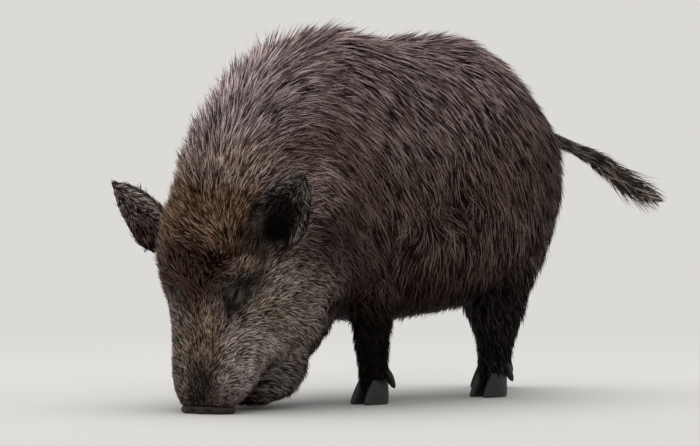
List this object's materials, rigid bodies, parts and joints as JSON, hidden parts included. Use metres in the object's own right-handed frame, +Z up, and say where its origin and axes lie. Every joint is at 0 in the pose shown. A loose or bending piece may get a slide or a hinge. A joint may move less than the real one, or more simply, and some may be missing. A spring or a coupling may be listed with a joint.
{
  "type": "wild boar",
  "caption": "Life-size wild boar sow standing and rooting, head down with the snout on the ground and the tail held out.",
  "frame": {"origin": "middle of the animal's footprint box, on the ground", "axes": "+Z up, the animal faces -Y, its left is +X"},
  "size_m": [0.4936, 1.3998, 0.818],
  "materials": {
    "coat": "coarse brown guard hair lying along the body",
    "face_coat": "short soft brown hair",
    "ear_coat": "short dark grey hair",
    "leg_coat": "short black hair",
    "snout_skin": "bare grained skin, slightly moist",
    "horn": "black horn, satin",
    "eye": "dark brown, wet"
  },
  "bodies": {
    "root": {"trunk": "coat", "neck": "coat", "head": "face_coat", "lower_jaw": "face_coat", "snout_disc": "snout_skin", "eye_left": "eye", "eye_right": "eye", "ear_left": "ear_coat", "ear_right": "ear_coat", "tail": "coat", "tail_tuft": "ear_coat", "fore_left_leg": "leg_coat", "fore_left_claw_outer": "horn", "fore_left_dewclaw_outer": "horn", "fore_left_claw_inner": "horn", "fore_left_dewclaw_inner": "horn", "fore_right_leg": "leg_coat", "fore_right_claw_outer": "horn", "fore_right_dewclaw_outer": "horn", "fore_right_claw_inner": "horn", "fore_right_dewclaw_inner": "horn", "hind_left_leg": "leg_coat", "hind_left_claw_outer": "horn", "hind_left_dewclaw_outer": "horn", "hind_left_claw_inner": "horn", "hind_left_dewclaw_inner": "horn", "hind_right_leg": "leg_coat", "hind_right_claw_outer": "horn", "hind_right_dewclaw_outer": "horn", "hind_right_claw_inner": "horn", "hind_right_dewclaw_inner": "horn"}
  },
  "joints": []
}
